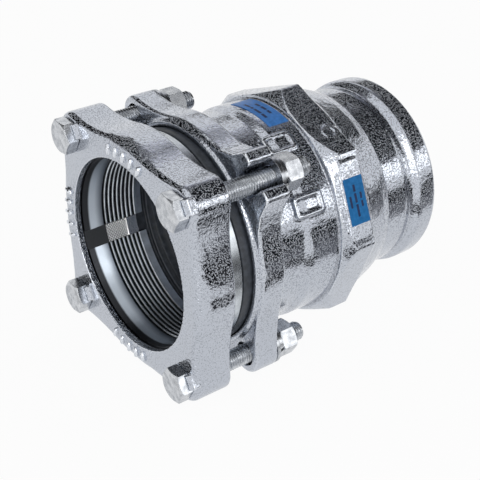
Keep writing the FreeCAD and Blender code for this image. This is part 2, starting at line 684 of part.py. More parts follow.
def tangentSketch(body, name, angle, height):
    """Sketch that lies level on the casting at an angle from -Y about X, at a height above the axis."""
    sketch = newSketch(body, name, "XZ_Plane")
    turn = FreeCAD.Rotation(vector(1, 0, 0), -value(angle))
    sketch.AttachmentOffset = FreeCAD.Placement(turn.multVec(vector(0, 0, value(height))), turn)
    doc.recompute()
    return sketch


def addFrame(body, name, angle):
    """Raised rounded frame on the barrel."""
    middle = "Made.flangeBack + Sizes.framePlace"
    outline = tangentSketch(body, name + "Outline", angle, "Made.bandRadius - Sizes.frameSunk")
    roundedRectangle(outline, "Sizes.frameLong / 2", "Sizes.frameWide / 2", "Sizes.frameCorner", middle)
    roundedRectangle(outline, "Sizes.frameLong / 2 - Sizes.frameBar", "Sizes.frameWide / 2 - Sizes.frameBar",
                     "Sizes.frameCorner / 2", middle)
    addPad(body, name, outline, "Sizes.frameHigh + Sizes.frameSunk")


def addForkArms(body):
    """Blocks from which the two forks are cut: their arms reach beyond the bolts."""
    outline = newSketch(body, "forkOutline", "YZ_Plane", "Made.flangeFront")
    shape = (("Sizes.forkReach", "Made.forkTip"), ("0", "(Made.forkTip + Sizes.forkFlare)"),
             ("-Sizes.forkRoot", "(Made.forkTip + Sizes.forkFlare + Sizes.forkSpread)"))
    for signY, signZ in (("-", ""), ("", "-")):
        corners = []
        for side, steps in (("", shape), ("-", shape[::-1])):
            for reach, half in steps:
                across = "%s%s * sqrt(0.5)" % (side, half)
                corners.append(tuple("%s(Made.boltHalf + %s * sqrt(0.5)) + %s" % (sign, reach, across)
                                     for sign in (signY, signZ)))
        drawPolygon(outline, corners)
    addPad(body, "forkForm", outline, "Made.flangeBack - Made.flangeFront")


def armEdges(feature):
    """Edges along the axis at the ends of the arms."""
    end = value("Made.boltHalf") * math.sqrt(2) + value("Sizes.forkReach")
    names = []
    for number, edge in enumerate(feature.Shape.Edges, 1):
        middle = edge.CenterOfMass
        level = edge.BoundBox.YLength < 0.01 and edge.BoundBox.ZLength < 0.01
        if level and math.hypot(middle.y, middle.z) > end:
            names.append("Edge%d" % number)
    return names


def buildCasting():
    body = newBody("body_casting")
    lugs = newSketch(body, "flangeOutline", "YZ_Plane", "Made.flangeFront")
    drawLobes(lugs, "Made.flangeRadius", "Made.lugRadius")
    form = addPad(body, "flangeForm", lugs, "Made.flangeBack - Made.flangeFront")
    front = addFillet(body, "flangeFrontEdge", form, flatEdges(form, "Made.flangeFront"),
                      "Sizes.flangeFrontRound")
    addFillet(body, "flangeRearEdge", front, flatEdges(front, "Made.flangeBack"), "Sizes.flangeRearRound")
    addForkArms(body)
    barrel = addTurned(body, "barrelForm", [
        ("Made.mouthFront", "0"),
        ("Made.mouthFront", "Made.rimRadius - Sizes.rimBevel"),
        ("Made.mouthFront + Sizes.rimBevel", "Made.rimRadius"),
        ("Made.flangeFront + Sizes.past", "Made.rimRadius"),
        ("Made.flangeFront + Sizes.past", "Made.waistRadius"),
        ("Made.waistEnd", "Made.waistRadius"),
        ("Made.bandStart", "Made.bandRadius"),
        ("Made.collarBack - Sizes.collarTail", "Made.bandRadius"),
        ("Made.collarBack", "Made.bandRadius + Sizes.neckStep"),
        ("Made.neckEnd", "Made.socketRadius + Sizes.neckRise"),
        ("Made.ledgeEnd", "Made.socketRadius + Sizes.ledgeRise"),
        ("Made.ledgeEnd", "Made.socketRadius"),
        ("Made.beadStart", "Made.socketRadius"),
        ("Made.beadTop", "Made.beadRadius"),
        ("Made.bodyEnd", "Made.beadRadius"),
        ("Made.bodyEnd", "0")])
    addFillet(body, "barrelRounds", barrel, ringEdges(barrel, [
        ("Made.neckEnd", "Made.socketRadius + Sizes.neckRise"),
        ("Made.beadStart", "Made.socketRadius"),
        ("Made.beadTop", "Made.beadRadius"),
        ("Made.bodyEnd", "Made.beadRadius")]), "Sizes.beadRound")
    addFrame(body, "lowerFrame", "Sizes.frameLow")
    addFrame(body, "upperFrame", "Sizes.frameUp")
    collar = newSketch(body, "collarOutline", "YZ_Plane", "Made.collarFront")
    diagonal = "Made.collarCorner * sqrt(0.5)"
    drawPolygon(collar, [
        ("Made.collarCorner", "0"), (diagonal, diagonal), ("0", "Made.collarCorner"),
        ("-" + diagonal, diagonal), ("-Made.collarCorner", "0"), ("-" + diagonal, "-" + diagonal),
        ("0", "-Made.collarCorner"), (diagonal, "-" + diagonal)])
    addPad(body, "collarForm", collar, "Sizes.collarLength")
    rise = "(Made.collarCorner - Made.collarFlat)"
    run = "(Sizes.collarBevel / %s * Sizes.past)" % rise
    addTurned(body, "collarBevels", [
        ("Made.collarFront - " + run, "Made.collarFlat - Sizes.past"),
        ("Made.collarFront + Sizes.collarBevel + " + run, "Made.collarCorner + Sizes.past"),
        ("Made.collarFront - " + run, "Made.collarCorner + Sizes.past")], cut=True)
    pad = tangentSketch(body, "padOutline", "Sizes.padAngle", "Made.collarFlat - Sizes.past")
    roundedRectangle(pad, "Sizes.padWide / 2", "Sizes.padLong / 2", "Sizes.padCorner", "Made.padMiddle")
    addPad(body, "padForm", pad, "Sizes.padHigh + Sizes.past")
    button = tangentSketch(body, "buttonOutline", "Sizes.padAngle + 45", "Made.collarFlat - Sizes.past")
    for radius in ("Sizes.buttonRadius", "Sizes.buttonBore"):
        drawCircle(button, "Made.padMiddle + Sizes.padShift", "Sizes.buttonShift", radius)
    addPad(body, "buttonForm", button, "Sizes.buttonHigh + Sizes.past")
    addTurned(body, "waterPassage", [
        ("Made.mouthFront - Sizes.past", "0"),
        ("Made.mouthFront - Sizes.past", "Made.mouthRadius"),
        ("Made.mouthFront", "Made.mouthRadius"),
        ("Made.chamberEnd", "Made.chamberRadius"),
        ("Made.chamberEnd", "Made.pipeRoom"),
        ("Made.pipeStop", "Made.pipeRoom"),
        ("Made.pipeStop", "Sizes.waterWay"),
        ("Made.threadStart", "Sizes.waterWay"),
        ("Made.threadStart", "Sizes.threadRadius"),
        ("Made.bodyEnd - Sizes.threadFlare", "Sizes.threadRadius"),
        ("Made.bodyEnd", "Sizes.threadRadius + Sizes.threadFlare"),
        ("Made.bodyEnd + Sizes.past", "Sizes.threadRadius + Sizes.threadFlare"),
        ("Made.bodyEnd + Sizes.past", "0")], cut=True)
    holes = newSketch(body, "lugHoles", "YZ_Plane", "Made.mouthFront - Sizes.past")
    for signY in ("", "-"):
        for signZ in ("", "-"):
            drawCircle(holes, signY + "Made.boltHalf", signZ + "Made.boltHalf", "Made.slotHalf")
    through = "Sizes.flangeThick + 2 * Sizes.past"
    addPocket(body, "lugBores", holes, through)
    forks = newSketch(body, "forkSlots", "YZ_Plane", "Made.mouthFront - Sizes.past")
    skew = "Made.slotHalf * sqrt(0.5)"
    away = "Made.boltHalf + Sizes.forkReach"
    for signY, signZ in (("-", ""), ("", "-")):
        drawPolygon(forks, [
            ("%s(Made.boltHalf + %s)" % (signY, skew), "%s(Made.boltHalf - %s)" % (signZ, skew)),
            ("%s(%s + %s)" % (signY, away, skew), "%s(%s - %s)" % (signZ, away, skew)),
            ("%s(%s - %s)" % (signY, away, skew), "%s(%s + %s)" % (signZ, away, skew)),
            ("%s(Made.boltHalf - %s)" % (signY, skew), "%s(Made.boltHalf + %s)" % (signZ, skew))])
    open_ = addPocket(body, "forkOpenings", forks, through)
    addFillet(body, "forkEnds", open_, armEdges(open_), "Sizes.forkRound")
    return body


# Bolts, washers and nuts, one set at each corner of the bolt square

def cornerSign(number):
    """Signs of y and z at corner 1 to 4: near top, near bottom, far bottom, far top."""
    return (("-", ""), ("-", "-"), ("", "-"), ("", ""))[number - 1]


def seatAtCorner(item, number, along):
    signY, signZ = cornerSign(number)
    bind(item, "Placement.Base.x", along)
    bind(item, "Placement.Base.y", signY + "Made.boltHalf")
    bind(item, "Placement.Base.z", signZ + "Made.boltHalf")


def bevelHexagon(body, name, face, inward):
    """Cuts the corners of a hexagon back to a 30 degree bevel at one face."""
    flat = "(Sizes.wrenchFlats / 2 - Sizes.wrenchLand)"
    outside = "(Sizes.wrenchFlats / sqrt(3) + Sizes.past)"
    drop = "((%s - %s) * tan(30))" % (outside, flat)
    inside, away = ("+", "-") if inward else ("-", "+")
    addTurned(body, name, [
        (face, flat),
        ("%s %s %s" % (face, inside, drop), outside),
        ("%s %s Sizes.past" % (face, away), outside),
        ("%s %s Sizes.past" % (face, away), flat)], cut=True)


def buildBolt(number):
    body = newBody("bolt_%d" % number)
    head = newSketch(body, "headOutline%d" % number, "YZ_Plane", "-Sizes.headHeight")
    drawHexagon(head, "Sizes.wrenchFlats")
    addPad(body, "headForm%d" % number, head, "Sizes.headHeight")
    bevelHexagon(body, "headBevel%d" % number, "-Sizes.headHeight", True)
    addTurned(body, "shankForm%d" % number, [
        ("-Sizes.past", "0"),
        ("-Sizes.past", "Sizes.boltRadius"),
        ("Sizes.boltLength - Sizes.tipChamfer", "Sizes.boltRadius"),
        ("Sizes.boltLength", "Sizes.boltRadius - Sizes.tipChamfer"),
        ("Sizes.boltLength", "0")])
    seatAtCorner(body, number, "0")
    return body


def buildNut(number):
    body = newBody("nut_%d" % number)
    outline = newSketch(body, "nutOutline%d" % number, "YZ_Plane")
    drawHexagon(outline, "Sizes.wrenchFlats")
    addPad(body, "nutForm%d" % number, outline, "Sizes.nutHeight")
    bevelHexagon(body, "nutFront%d" % number, "0", True)
    bevelHexagon(body, "nutBack%d" % number, "Sizes.nutHeight", False)
    bore = "Made.nutBore"
    addTurned(body, "nutBore%d" % number, [
        ("-Sizes.past", "0"),
        ("-Sizes.past", bore + " + Sizes.nutChamfer + Sizes.past"),
        ("Sizes.nutChamfer", bore),
        ("Sizes.nutHeight - Sizes.nutChamfer", bore),
        ("Sizes.nutHeight + Sizes.past", bore + " + Sizes.nutChamfer + Sizes.past"),
        ("Sizes.nutHeight + Sizes.past", "0")], cut=True)
    seatAtCorner(body, number, "Made.nutFront")
    return body


def buildWasher(number):
    body = newBody("washer_%d" % number)
    addTurned(body, "washerForm%d" % number, [
        ("0", "Made.washerBore"), ("0", "Made.washerRadius"),
        ("Sizes.washerThick - Sizes.washerChamfer", "Made.washerRadius"),
        ("Sizes.washerThick", "Made.washerRadius - Sizes.washerChamfer"),
        ("Sizes.washerThick", "Made.washerBore")])
    seatAtCorner(body, number, "Made.flangeBack")
    return body


def buildSpringWasher(number):
    body = newBody("spring_washer_%d" % number)
    addTurned(body, "springForm%d" % number, [
        ("0", "Made.springBore"), ("0", "Made.springRadius"),
        ("Sizes.springThick", "Made.springRadius"), ("Sizes.springThick", "Made.springBore")])
    slit = newSketch(body, "springSlit%d" % number, "XZ_Plane")
    lean = "(Sizes.springThick / 2 + Sizes.past) * tan(Sizes.springLean)"
    drawPolygon(slit, [
        ("-Sizes.past", "-Sizes.springGap / 2 - " + lean),
        ("-Sizes.past", "Sizes.springGap / 2 - " + lean),
        ("Sizes.springThick + Sizes.past", "Sizes.springGap / 2 + " + lean),
        ("Sizes.springThick + Sizes.past", "-Sizes.springGap / 2 + " + lean)])
    addPocket(body, "springOpening%d" % number, slit, "Made.springRadius + Sizes.past")
    seatAtCorner(body, number, "Made.flangeBack + Sizes.washerThick")
    return body


# Labels: thin films on the barrel and on the collar's pad

def buildBarrelLabel():
    body = newBody("barrel_label")
    front = "(Made.collarFront - Sizes.bandLabelWide - Sizes.labelGap)"
    addTurned(body, "barrelLabelForm", [
        (front, "Made.bandRadius"),
        (front, "Made.bandRadius + Sizes.labelThick"),
        (front + " + Sizes.bandLabelWide", "Made.bandRadius + Sizes.labelThick"),
        (front + " + Sizes.bandLabelWide", "Made.bandRadius")], angle="Sizes.bandLabelAngle")
    turnAboutX(body, "Sizes.bandLabelPlace - Sizes.bandLabelAngle / 2")
    return body


def buildCollarLabel():
    body = newBody("collar_label")
    surface = "Made.collarFlat + Sizes.padHigh"
    outline = newSketch(body, "collarLabelOutline", "XZ_Plane", surface)
    middle = "Made.padMiddle"
    drawPolygon(outline, [
        (middle + " - Sizes.flatLabelWide / 2", "-Sizes.flatLabelLong / 2"),
        (middle + " + Sizes.flatLabelWide / 2", "-Sizes.flatLabelLong / 2"),
        (middle + " + Sizes.flatLabelWide / 2", "Sizes.flatLabelLong / 2"),
        (middle + " - Sizes.flatLabelWide / 2", "Sizes.flatLabelLong / 2")])
    addPad(body, "collarLabelForm", outline, "Sizes.labelThick")
    turnAboutX(body, "-Sizes.padAngle")
    return body


parts = [
    buildGland(),
    buildClampRing(),
    buildSpacer(),
    buildPlate(),
    buildThrustRing(),
    buildSeal(),
    buildCasting(),
]
for corner in range(1, 5):
    parts.append(buildBolt(corner))
    parts.append(buildWasher(corner))
    parts.append(buildSpringWasher(corner))
    parts.append(buildNut(corner))
parts.append(buildBarrelLabel())
parts.append(buildCollarLabel())
doc.recompute()

for item in doc.Objects:
    bad = [state for state in item.State if state in ("Invalid", "Error")]
    assert not bad, "%s is %s" % (item.Label, bad)
for part in parts:
    shape = part.Shape
    assert not shape.isNull() and shape.isValid(), part.Label
    assert len(shape.Solids) == 1, "%s has %d solids" % (part.Label, len(shape.Solids))

os.makedirs("parts", exist_ok=True)
for part in parts:
    part.Shape.exportStep("parts/%s.step" % part.Label)
    print("%-18s volume %9.1f" % (part.Label, part.Shape.Volume))
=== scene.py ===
import math
import bpy
import bmesh
from mathutils import Matrix, Vector


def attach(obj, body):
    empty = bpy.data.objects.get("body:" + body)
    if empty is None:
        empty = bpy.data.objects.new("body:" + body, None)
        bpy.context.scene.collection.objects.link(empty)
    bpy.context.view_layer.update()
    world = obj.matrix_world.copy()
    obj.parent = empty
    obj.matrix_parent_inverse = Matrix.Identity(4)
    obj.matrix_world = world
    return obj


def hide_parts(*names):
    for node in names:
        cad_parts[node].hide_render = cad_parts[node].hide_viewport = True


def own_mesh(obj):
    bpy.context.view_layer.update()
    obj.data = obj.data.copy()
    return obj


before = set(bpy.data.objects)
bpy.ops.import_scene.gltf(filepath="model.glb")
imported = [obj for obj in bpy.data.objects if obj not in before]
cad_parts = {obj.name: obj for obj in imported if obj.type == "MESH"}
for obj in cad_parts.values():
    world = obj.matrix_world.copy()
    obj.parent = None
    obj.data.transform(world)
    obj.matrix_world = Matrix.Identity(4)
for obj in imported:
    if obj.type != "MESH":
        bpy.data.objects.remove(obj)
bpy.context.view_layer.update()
mm = 0.001
scene = bpy.context.scene
scene.view_settings.view_transform = "Standard"

# Camera at the photograph's angle
cameraPlace = {
    "azimuth": -37.171,                            # degrees, 0 looks along +Y
    "elevation": 30.914,
    "roll": 0.374,
    "position": (-0.27194, -0.46768, 0.33277),
    "lens": 82.15,                                 # on a 36 mm wide sensor
}


def makeCamera(place):
    azimuth, elevation, roll = (math.radians(place[key])
                                for key in ("azimuth", "elevation", "roll"))
    back = Vector((math.sin(azimuth) * math.cos(elevation),
                   -math.cos(azimuth) * math.cos(elevation), math.sin(elevation)))
    level = Vector((math.cos(azimuth), math.sin(azimuth), 0))
    above = back.cross(level)
    right = level * math.cos(roll) + above * math.sin(roll)
    up = above * math.cos(roll) - level * math.sin(roll)
    data = bpy.data.cameras.new("camera")
    data.lens = place["lens"]
    data.sensor_width = 36
    camera = bpy.data.objects.new("camera", data)
    scene.collection.objects.link(camera)
    turned = Matrix((right, up, back)).transposed().to_4x4()
    camera.matrix_world = Matrix.Translation(place["position"]) @ turned
    scene.camera = camera


makeCamera(cameraPlace)
print("camera ready")


# Nodes and materials

def addNode(tree, kind, inputs=None, **settings):
    node = tree.nodes.new("ShaderNode" + kind)
    for key, setting in settings.items():
        setattr(node, key, setting)
    for key, value in (inputs or {}).items():
        if isinstance(value, bpy.types.NodeSocket):
            tree.links.new(value, node.inputs[key])
        else:
            node.inputs[key].default_value = value
    return node


def noise(tree, place, scale, detail=2.0, roughness=0.5):
    return addNode(tree, "TexNoise", {
        "Vector": place, "Scale": scale, "Detail": detail, "Roughness": roughness}).outputs["Fac"]


def spread(tree, factor, low, high, toLow=0.0, toHigh=1.0):
    return addNode(tree, "MapRange", {
        "Value": factor, "From Min": low, "From Max": high,
        "To Min": toLow, "To Max": toHigh}).outputs["Result"]


def reckon(tree, operation, *values):
    return addNode(tree, "Math", dict(enumerate(values)), operation=operation).outputs[0]


def shades(tree, factor, dark, light):
    return addNode(tree, "Mix", {
        "Factor": factor, 6: (*dark, 1), 7: (*light, 1)}, data_type="RGBA").outputs[2]


def blended(tree, factor, color, over):
    if not isinstance(over, bpy.types.NodeSocket):
        over = (*over, 1)
    return addNode(tree, "Mix", {
        "Factor": factor, 6: color, 7: over}, data_type="RGBA").outputs[2]


def newFinish(name, metallic):
    material = bpy.data.materials.new(name)
    material.use_nodes = True
    tree = material.node_tree
    shader = tree.nodes["Principled BSDF"]
    shader.inputs["Metallic"].default_value = metallic
    place = addNode(tree, "TexCoord").outputs["Object"]
    return material, tree, shader, place


def bumped(tree, shader, layers, edge=0.0, normal=None):
    if edge:
        normal = addNode(tree, "Bevel", {"Radius": edge}, samples=4).outputs["Normal"]
    for height, distance in layers:                # from the coarsest to the finest
        inputs = {"Height": height, "Distance": distance}
        if normal:
            inputs["Normal"] = normal
        normal = addNode(tree, "Bump", inputs).outputs["Normal"]
    tree.links.new(normal, shader.inputs["Normal"])


castLook = {
    "dark": (0.42, 0.445, 0.49),
    "light": (0.52, 0.55, 0.61),
    # painted shade that darkens inner corners
    "corner": (0.20, 0.21, 0.24),
    # edges worn pale, partly a painted highlight
    "worn": (0.74, 0.77, 0.82),
    "corners": (0.49, 0.43),   # pointiness of an inner corner, from faint to full painted shade
    "ridges": (0.515, 0.56),   # and of an edge, worn pale and given a painted highlight
    "grain": 1100,             # per metre
    "pits": (0.36, 0.46),      # grain from the floor of a pit to the skin round it
    "grainDepth": 0.00005,
    "pitDepth": 0.00012,
    "swell": 330,
    "swellDepth": 0.00018,
    "smooth": 0.05,
    "rough": 0.10,
}


def castFinish(look):
    material, tree, shader, place = newFinish("castZinc", 1.0)
    grain = noise(tree, place, look["grain"], 1.0, 0.5)
    swell = noise(tree, place, look["swell"], 2, 0.5)
    skin = spread(tree, grain, *look["pits"])      # 0 in a pit, 1 on the skin round it
    edges = addNode(tree, "NewGeometry").outputs["Pointiness"]
    coat = shades(tree, skin, look["dark"], look["light"])
    # painted shade in inner corners
    coat = blended(tree, spread(tree, edges, *look["corners"]), coat, look["corner"])
    # edges worn pale and given a painted highlight
    coat = blended(tree, spread(tree, edges, *look["ridges"]), coat, look["worn"])
    tree.links.new(coat, shader.inputs["Base Color"])
    tree.links.new(spread(tree, skin, 0.0, 1.0, look["rough"], look["smooth"]),
                   shader.inputs["Roughness"])
    bumped(tree, shader, [(swell, look["swellDepth"]), (grain, look["grainDepth"]),
                          (skin, look["pitDepth"])])
    return material


fastenerLook = {
    "dark": (0.42, 0.44, 0.47),
    "light": (0.64, 0.66, 0.69),
    "clouds": 260,             # per metre
    "specks": 1500,
    "depth": 0.00002,
    "smooth": 0.20,
    "rough": 0.32,
    "edge": 0.0003,
}


def fastenerFinish(look):
    material, tree, shader, place = newFinish("fastenerZinc", 1.0)
    clouds = noise(tree, place, look["clouds"], 3, 0.6)
    specks = noise(tree, place, look["specks"], 2, 0.6)
    tree.links.new(shades(tree, spread(tree, clouds, 0.35, 0.6), look["dark"], look["light"]),
                   shader.inputs["Base Color"])
    tree.links.new(spread(tree, clouds, 0.3, 0.7, look["rough"], look["smooth"]),
                   shader.inputs["Roughness"])
    bumped(tree, shader, [(clouds, look["depth"]), (specks, look["depth"])], look["edge"])
    return material


turnedLook = {
    "color": (0.61, 0.65, 0.69),
    "stained": 0.72,           # share of the colour that a stain keeps
    "stains": 90,              # per metre
    "roughness": 0.20,
    "ridges": 5200,            # turning marks per metre
    "depth": 0.00003,
    "edge": 0.0003,
}
ringLook = {
    **turnedLook,
    "color": (0.74, 0.79, 0.85),
    "roughness": 0.30,
    # painted shade for the floors of the grooves and painted shadow for the first stretch
    "shaded": (0.03, 0.032, 0.036),
    "grooveFloor": 58.35,      # radius in mm beyond which the floors of the grooves get painted shade
    "shadowedFirstEnd": 9.6,           # painted shadow on the first stretch, up to here in mm along the axis
    "leadEnd": 19.5,           # end of the plain lead-in
    # the lead-in's colour is painted light at the front, turning to painted shade at the back
    "leadFront": (0.40, 0.445, 0.50),
    "leadBackShade": (0.07, 0.08, 0.10),
    "lean": 0.46,
}


def turnedFinish(name, look):
    material, tree, shader, place = newFinish(name, 1.0)
    parts = addNode(tree, "SeparateXYZ", {0: place})
    along = parts.outputs["X"]
    across = addNode(tree, "CombineXYZ", {"Y": parts.outputs["Y"], "Z": parts.outputs["Z"]})
    reach = addNode(tree, "VectorMath", {0: across.outputs[0]}, operation="LENGTH").outputs["Value"]
    rings = addNode(tree, "CombineXYZ", {"X": along, "Y": reach}).outputs[0]
    marks = noise(tree, rings, look["ridges"], 2, 0.6)
    stains = noise(tree, place, look["stains"], 3, 0.6)
    dim = tuple(look["stained"] * value for value in look["color"])
    metal = shades(tree, spread(tree, stains, 0.35, 0.6), dim, look["color"])
    normal = None
    if "leadEnd" in look:
        metal = ringPaintedLightAndShade(tree, metal, along, reach, look)
        normal = ringLean(tree, along, look)
    tree.links.new(metal, shader.inputs["Base Color"])
    tree.links.new(spread(tree, stains, 0.3, 0.7, look["roughness"] + 0.1, look["roughness"]),
                   shader.inputs["Roughness"])
    bumped(tree, shader, [(marks, look["depth"])], 0.0 if normal else look["edge"], normal)
    return material


# Painted shade on the floors of the grooves, a bluish lead-in painted light at the front and shade
# at the back, and a painted shadow on the first stretch
def ringPaintedLightAndShade(tree, metal, along, reach, look):
    # painted shade on the floors of the grooves
    grooveShadeMask = spread(tree, reach, look["grooveFloor"] * mm, (look["grooveFloor"] + 0.25) * mm)
    metal = blended(tree, grooveShadeMask, metal, look["shaded"])
    # lead-in painted light at the front, turning to painted shade at its back
    lead = spread(tree, along, look["leadEnd"] * mm, (look["leadEnd"] - 0.4) * mm)
    leadLightToShade = spread(tree, along, (look["leadEnd"] - 0.6) * mm, (look["leadEnd"] - 6.0) * mm)
    metal = blended(tree, lead, metal, shades(tree, leadLightToShade, look["leadBackShade"], look["leadFront"]))
    # painted shadow on the first stretch
    first = spread(tree, along, look["shadowedFirstEnd"] * mm, (look["shadowedFirstEnd"] - 1.2) * mm)
    return blended(tree, first, metal, look["shaded"])


def ringLean(tree, along, look):                   # the lead-in leans open to the front
    lean = spread(tree, along, (look["leadEnd"] - 0.5) * mm, look["leadEnd"] * mm,
                  -look["lean"], 0.0)
    push = addNode(tree, "CombineXYZ", {"X": lean}).outputs[0]
    normal = addNode(tree, "NewGeometry").outputs["Normal"]
    leaning = addNode(tree, "VectorMath", {0: normal, 1: push}, operation="ADD").outputs[0]
    return addNode(tree, "VectorMath", {0: leaning}, operation="NORMALIZE").outputs[0]


rubberLook = {
    "color": (0.030, 0.035, 0.044),
    "dusty": 2.2,              # how much paler the dust is
    "dust": 300,               # per metre
    "grain": 1800,
    "depth": 0.00003,
}


def rubberFinish(look):
    material, tree, shader, place = newFinish("sealRubber", 0.0)
    dust = noise(tree, place, look["dust"], 4, 0.6)
    pale = tuple(value * look["dusty"] for value in look["color"])
    tree.links.new(shades(tree, spread(tree, dust, 0.4, 0.75), look["color"], pale),
                   shader.inputs["Base Color"])
    tree.links.new(spread(tree, dust, 0.3, 0.7, 0.38, 0.55), shader.inputs["Roughness"])
    bumped(tree, shader, [(noise(tree, place, look["grain"], 2, 0.5), look["depth"])])
    return material


plasticLook = {
    "color": (0.035, 0.038, 0.042),
    "paler": 1.5,
    "grain": 2600,             # per metre
    "depth": 0.00003,
    "edge": 0.0002,
}


def plasticFinish(look):
    material, tree, shader, place = newFinish("spacerPlastic", 0.0)
    grain = noise(tree, place, look["grain"], 2, 0.5)
    pale = tuple(value * look["paler"] for value in look["color"])
    tree.links.new(shades(tree, grain, look["color"], pale), shader.inputs["Base Color"])
    tree.links.new(spread(tree, grain, 0.3, 0.7, 0.5, 0.65), shader.inputs["Roughness"])
    bumped(tree, shader, [(grain, look["depth"])], look["edge"])
    return material


knurlLook = {
    "pale": (0.95, 0.95, 0.95),
    # painted shade in the knurl's grooves
    "groove": (0.25, 0.26, 0.27),
    "pitch": 520,              # grooves per metre
    "end": 34.0,               # the knurl ends here, in mm along the axis
    "knurled": 0.36,           # roughness
    "plain": 0.18,
    "depth": 0.0005,
    "edge": 0.0002,
}


def knurlFinish(look):
    material, tree, shader, place = newFinish("knurledPlate", 1.0)
    parts = addNode(tree, "SeparateXYZ", {0: place})
    height = reckon(tree, "MULTIPLY", parts.outputs["Z"], look["pitch"])
    along = reckon(tree, "MULTIPLY", parts.outputs["X"], look["pitch"])
    waves = []
    for operation in ("ADD", "SUBTRACT"):
        slant = reckon(tree, operation, along, height)
        wave = reckon(tree, "SINE", reckon(tree, "MULTIPLY", slant, math.pi))
        waves.append(reckon(tree, "ABSOLUTE", wave))
    points = reckon(tree, "MINIMUM", *waves)
    behind = reckon(tree, "GREATER_THAN", parts.outputs["X"], look["end"] * mm)
    points = reckon(tree, "MAXIMUM", points, behind)
    # knurl crests pale, grooves in painted shade
    tree.links.new(shades(tree, spread(tree, points, 0.1, 0.5), look["groove"], look["pale"]),
                   shader.inputs["Base Color"])
    tree.links.new(spread(tree, behind, 0.0, 1.0, look["knurled"], look["plain"]),
                   shader.inputs["Roughness"])
    bumped(tree, shader, [(points, look["depth"])], look["edge"])
    return material


labelLook = {
    "blue": (0.035, 0.165, 0.470),
    "collarBlue": (0.001, 0.120, 0.330),
    "ink": (0.006, 0.020, 0.075),
    "shine": 0.2,
    "fade": 420,               # per metre
    "grain": 500,
    "depth": 0.00004,
}


def filmFinish(name, look, ink):
    material, tree, shader, place = newFinish(name, 0.0)
    shader.inputs["Specular IOR Level"].default_value = look["shine"]
    color = look[ink]
    fade = noise(tree, place, look["fade"], 3, 0.6)
    worn = tuple(min(1.0, value * 1.35 + 0.01) for value in color)
    tree.links.new(shades(tree, spread(tree, fade, 0.35, 0.7), color, worn),
                   shader.inputs["Base Color"])
    tree.links.new(spread(tree, fade, 0.3, 0.7, 0.30, 0.42), shader.inputs["Roughness"])
    bumped(tree, shader, [(noise(tree, place, look["grain"], 2, 0.5), look["depth"])])
    return material


castZinc = castFinish(castLook)
fastenerZinc = fastenerFinish(fastenerLook)
turnedZinc = turnedFinish("turnedZinc", turnedLook)
ringZinc = turnedFinish("ringZinc", ringLook)
sealRubber = rubberFinish(rubberLook)
spacerPlastic = plasticFinish(plasticLook)
knurledPlate = knurlFinish(knurlLook)
labelFilm = filmFinish("labelFilm", labelLook, "blue")
collarFilm = filmFinish("collarFilm", labelLook, "collarBlue")
labelInk = filmFinish("labelInk", labelLook, "ink")
print("materials ready")


# Mesh helpers: every mesh is in metres, in the frame of the solids

def newPiece(name, mesh, material, body, sharpAngle=None):
    mesh.materials.clear()
    mesh.materials.append(material)
    mesh.shade_smooth()
    if sharpAngle is not None:
        mesh.set_sharp_from_angle(angle=math.radians(sharpAngle))
    piece = bpy.data.objects.new(name, mesh)
    scene.collection.objects.link(piece)
    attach(piece, body)
    return piece


def meshFrom(name, points, faces):
    mesh = bpy.data.meshes.new(name)
    mesh.from_pydata(points, [], faces)
    work = bmesh.new()
    work.from_mesh(mesh)
    bmesh.ops.remove_doubles(work, verts=work.verts, dist=1e-7)
    bmesh.ops.dissolve_degenerate(work, edges=work.edges, dist=1e-7)
    bmesh.ops.recalc_face_normals(work, faces=work.faces)
    work.to_mesh(mesh)
    work.free()
    return mesh


def ringPoint(along, radius, angle):               # angle from +Y, sizes in mm
    return (along * mm, radius * math.cos(angle) * mm, radius * math.sin(angle) * mm)


def turnedMesh(name, profile, steps):              # closed profile of (x, radius) in mm
    points = []
    faces = []
    count = len(profile)
    for step in range(steps):
        angle = 2 * math.pi * step / steps
        for along, radius in profile:
            points.append(ringPoint(along, radius, angle))
    for step in range(steps):
        after = (step + 1) % steps
        for i in range(count):
            j = (i + 1) % count
            faces.append((step * count + i, step * count + j, after * count + j, after * count + i))
    return meshFrom(name, points, faces)


# Castings: the solids' form, melted a little and given the uneven skin of a sand casting,
# sizes in mm

castings = {
    "gland_flange": {
        "name": "glandFlangeCast",
        "body": "gland_group",
        "voxel": 0.60,
        "melt": 2,             # rounds of smoothing
        "kept": 0.38,          # share of the faces
        "uneven": 0.16,
        "waves": 11.0,
        "eased": {"depth": 3.4, "long": 10.0, "inner": 64.0, "outer": 68.0, "corner": 0.85},
    },
    "body_casting": {
        "name": "bodyCast",
        "body": "body_group",
        "voxel": 0.85,
        "melt": 2,
        "kept": 0.36,
        "uneven": 0.16,
        "waves": 14.0,
        "hollow": {"middle": 172.3, "half": 7.0, "depth": 1.3, "inner": 58.7},
    },
}
fineWaves = {"size": 0.3, "depth": 0.5}            # as shares of the coarse waves
socketThread = {
    "minor": 55.1, "major": 56.58, "pitch": 2.309, "start": 150.0, "end": 190.0,
    "back": 56.7, "mouth": 56.65,
}


def applied(piece):
    bpy.context.view_layer.update()
    shown = piece.evaluated_get(bpy.context.evaluated_depsgraph_get())
    mesh = bpy.data.meshes.new_from_object(shown)
    piece.modifiers.clear()
    piece.data = mesh


def cutThreadRoom(piece, room):
    tool = bpy.data.objects.new("threadRoom", turnedMesh("threadRoom", [
        (room["start"], 0.1), (room["start"], room["back"]),
        (room["end"] + 4, room["back"]), (room["end"] + 4, 0.1)], 96))
    scene.collection.objects.link(tool)
    cut = piece.modifiers.new("cut", "BOOLEAN")
    cut.operation = "DIFFERENCE"
    cut.object = tool
    applied(piece)
    bpy.data.objects.remove(tool)


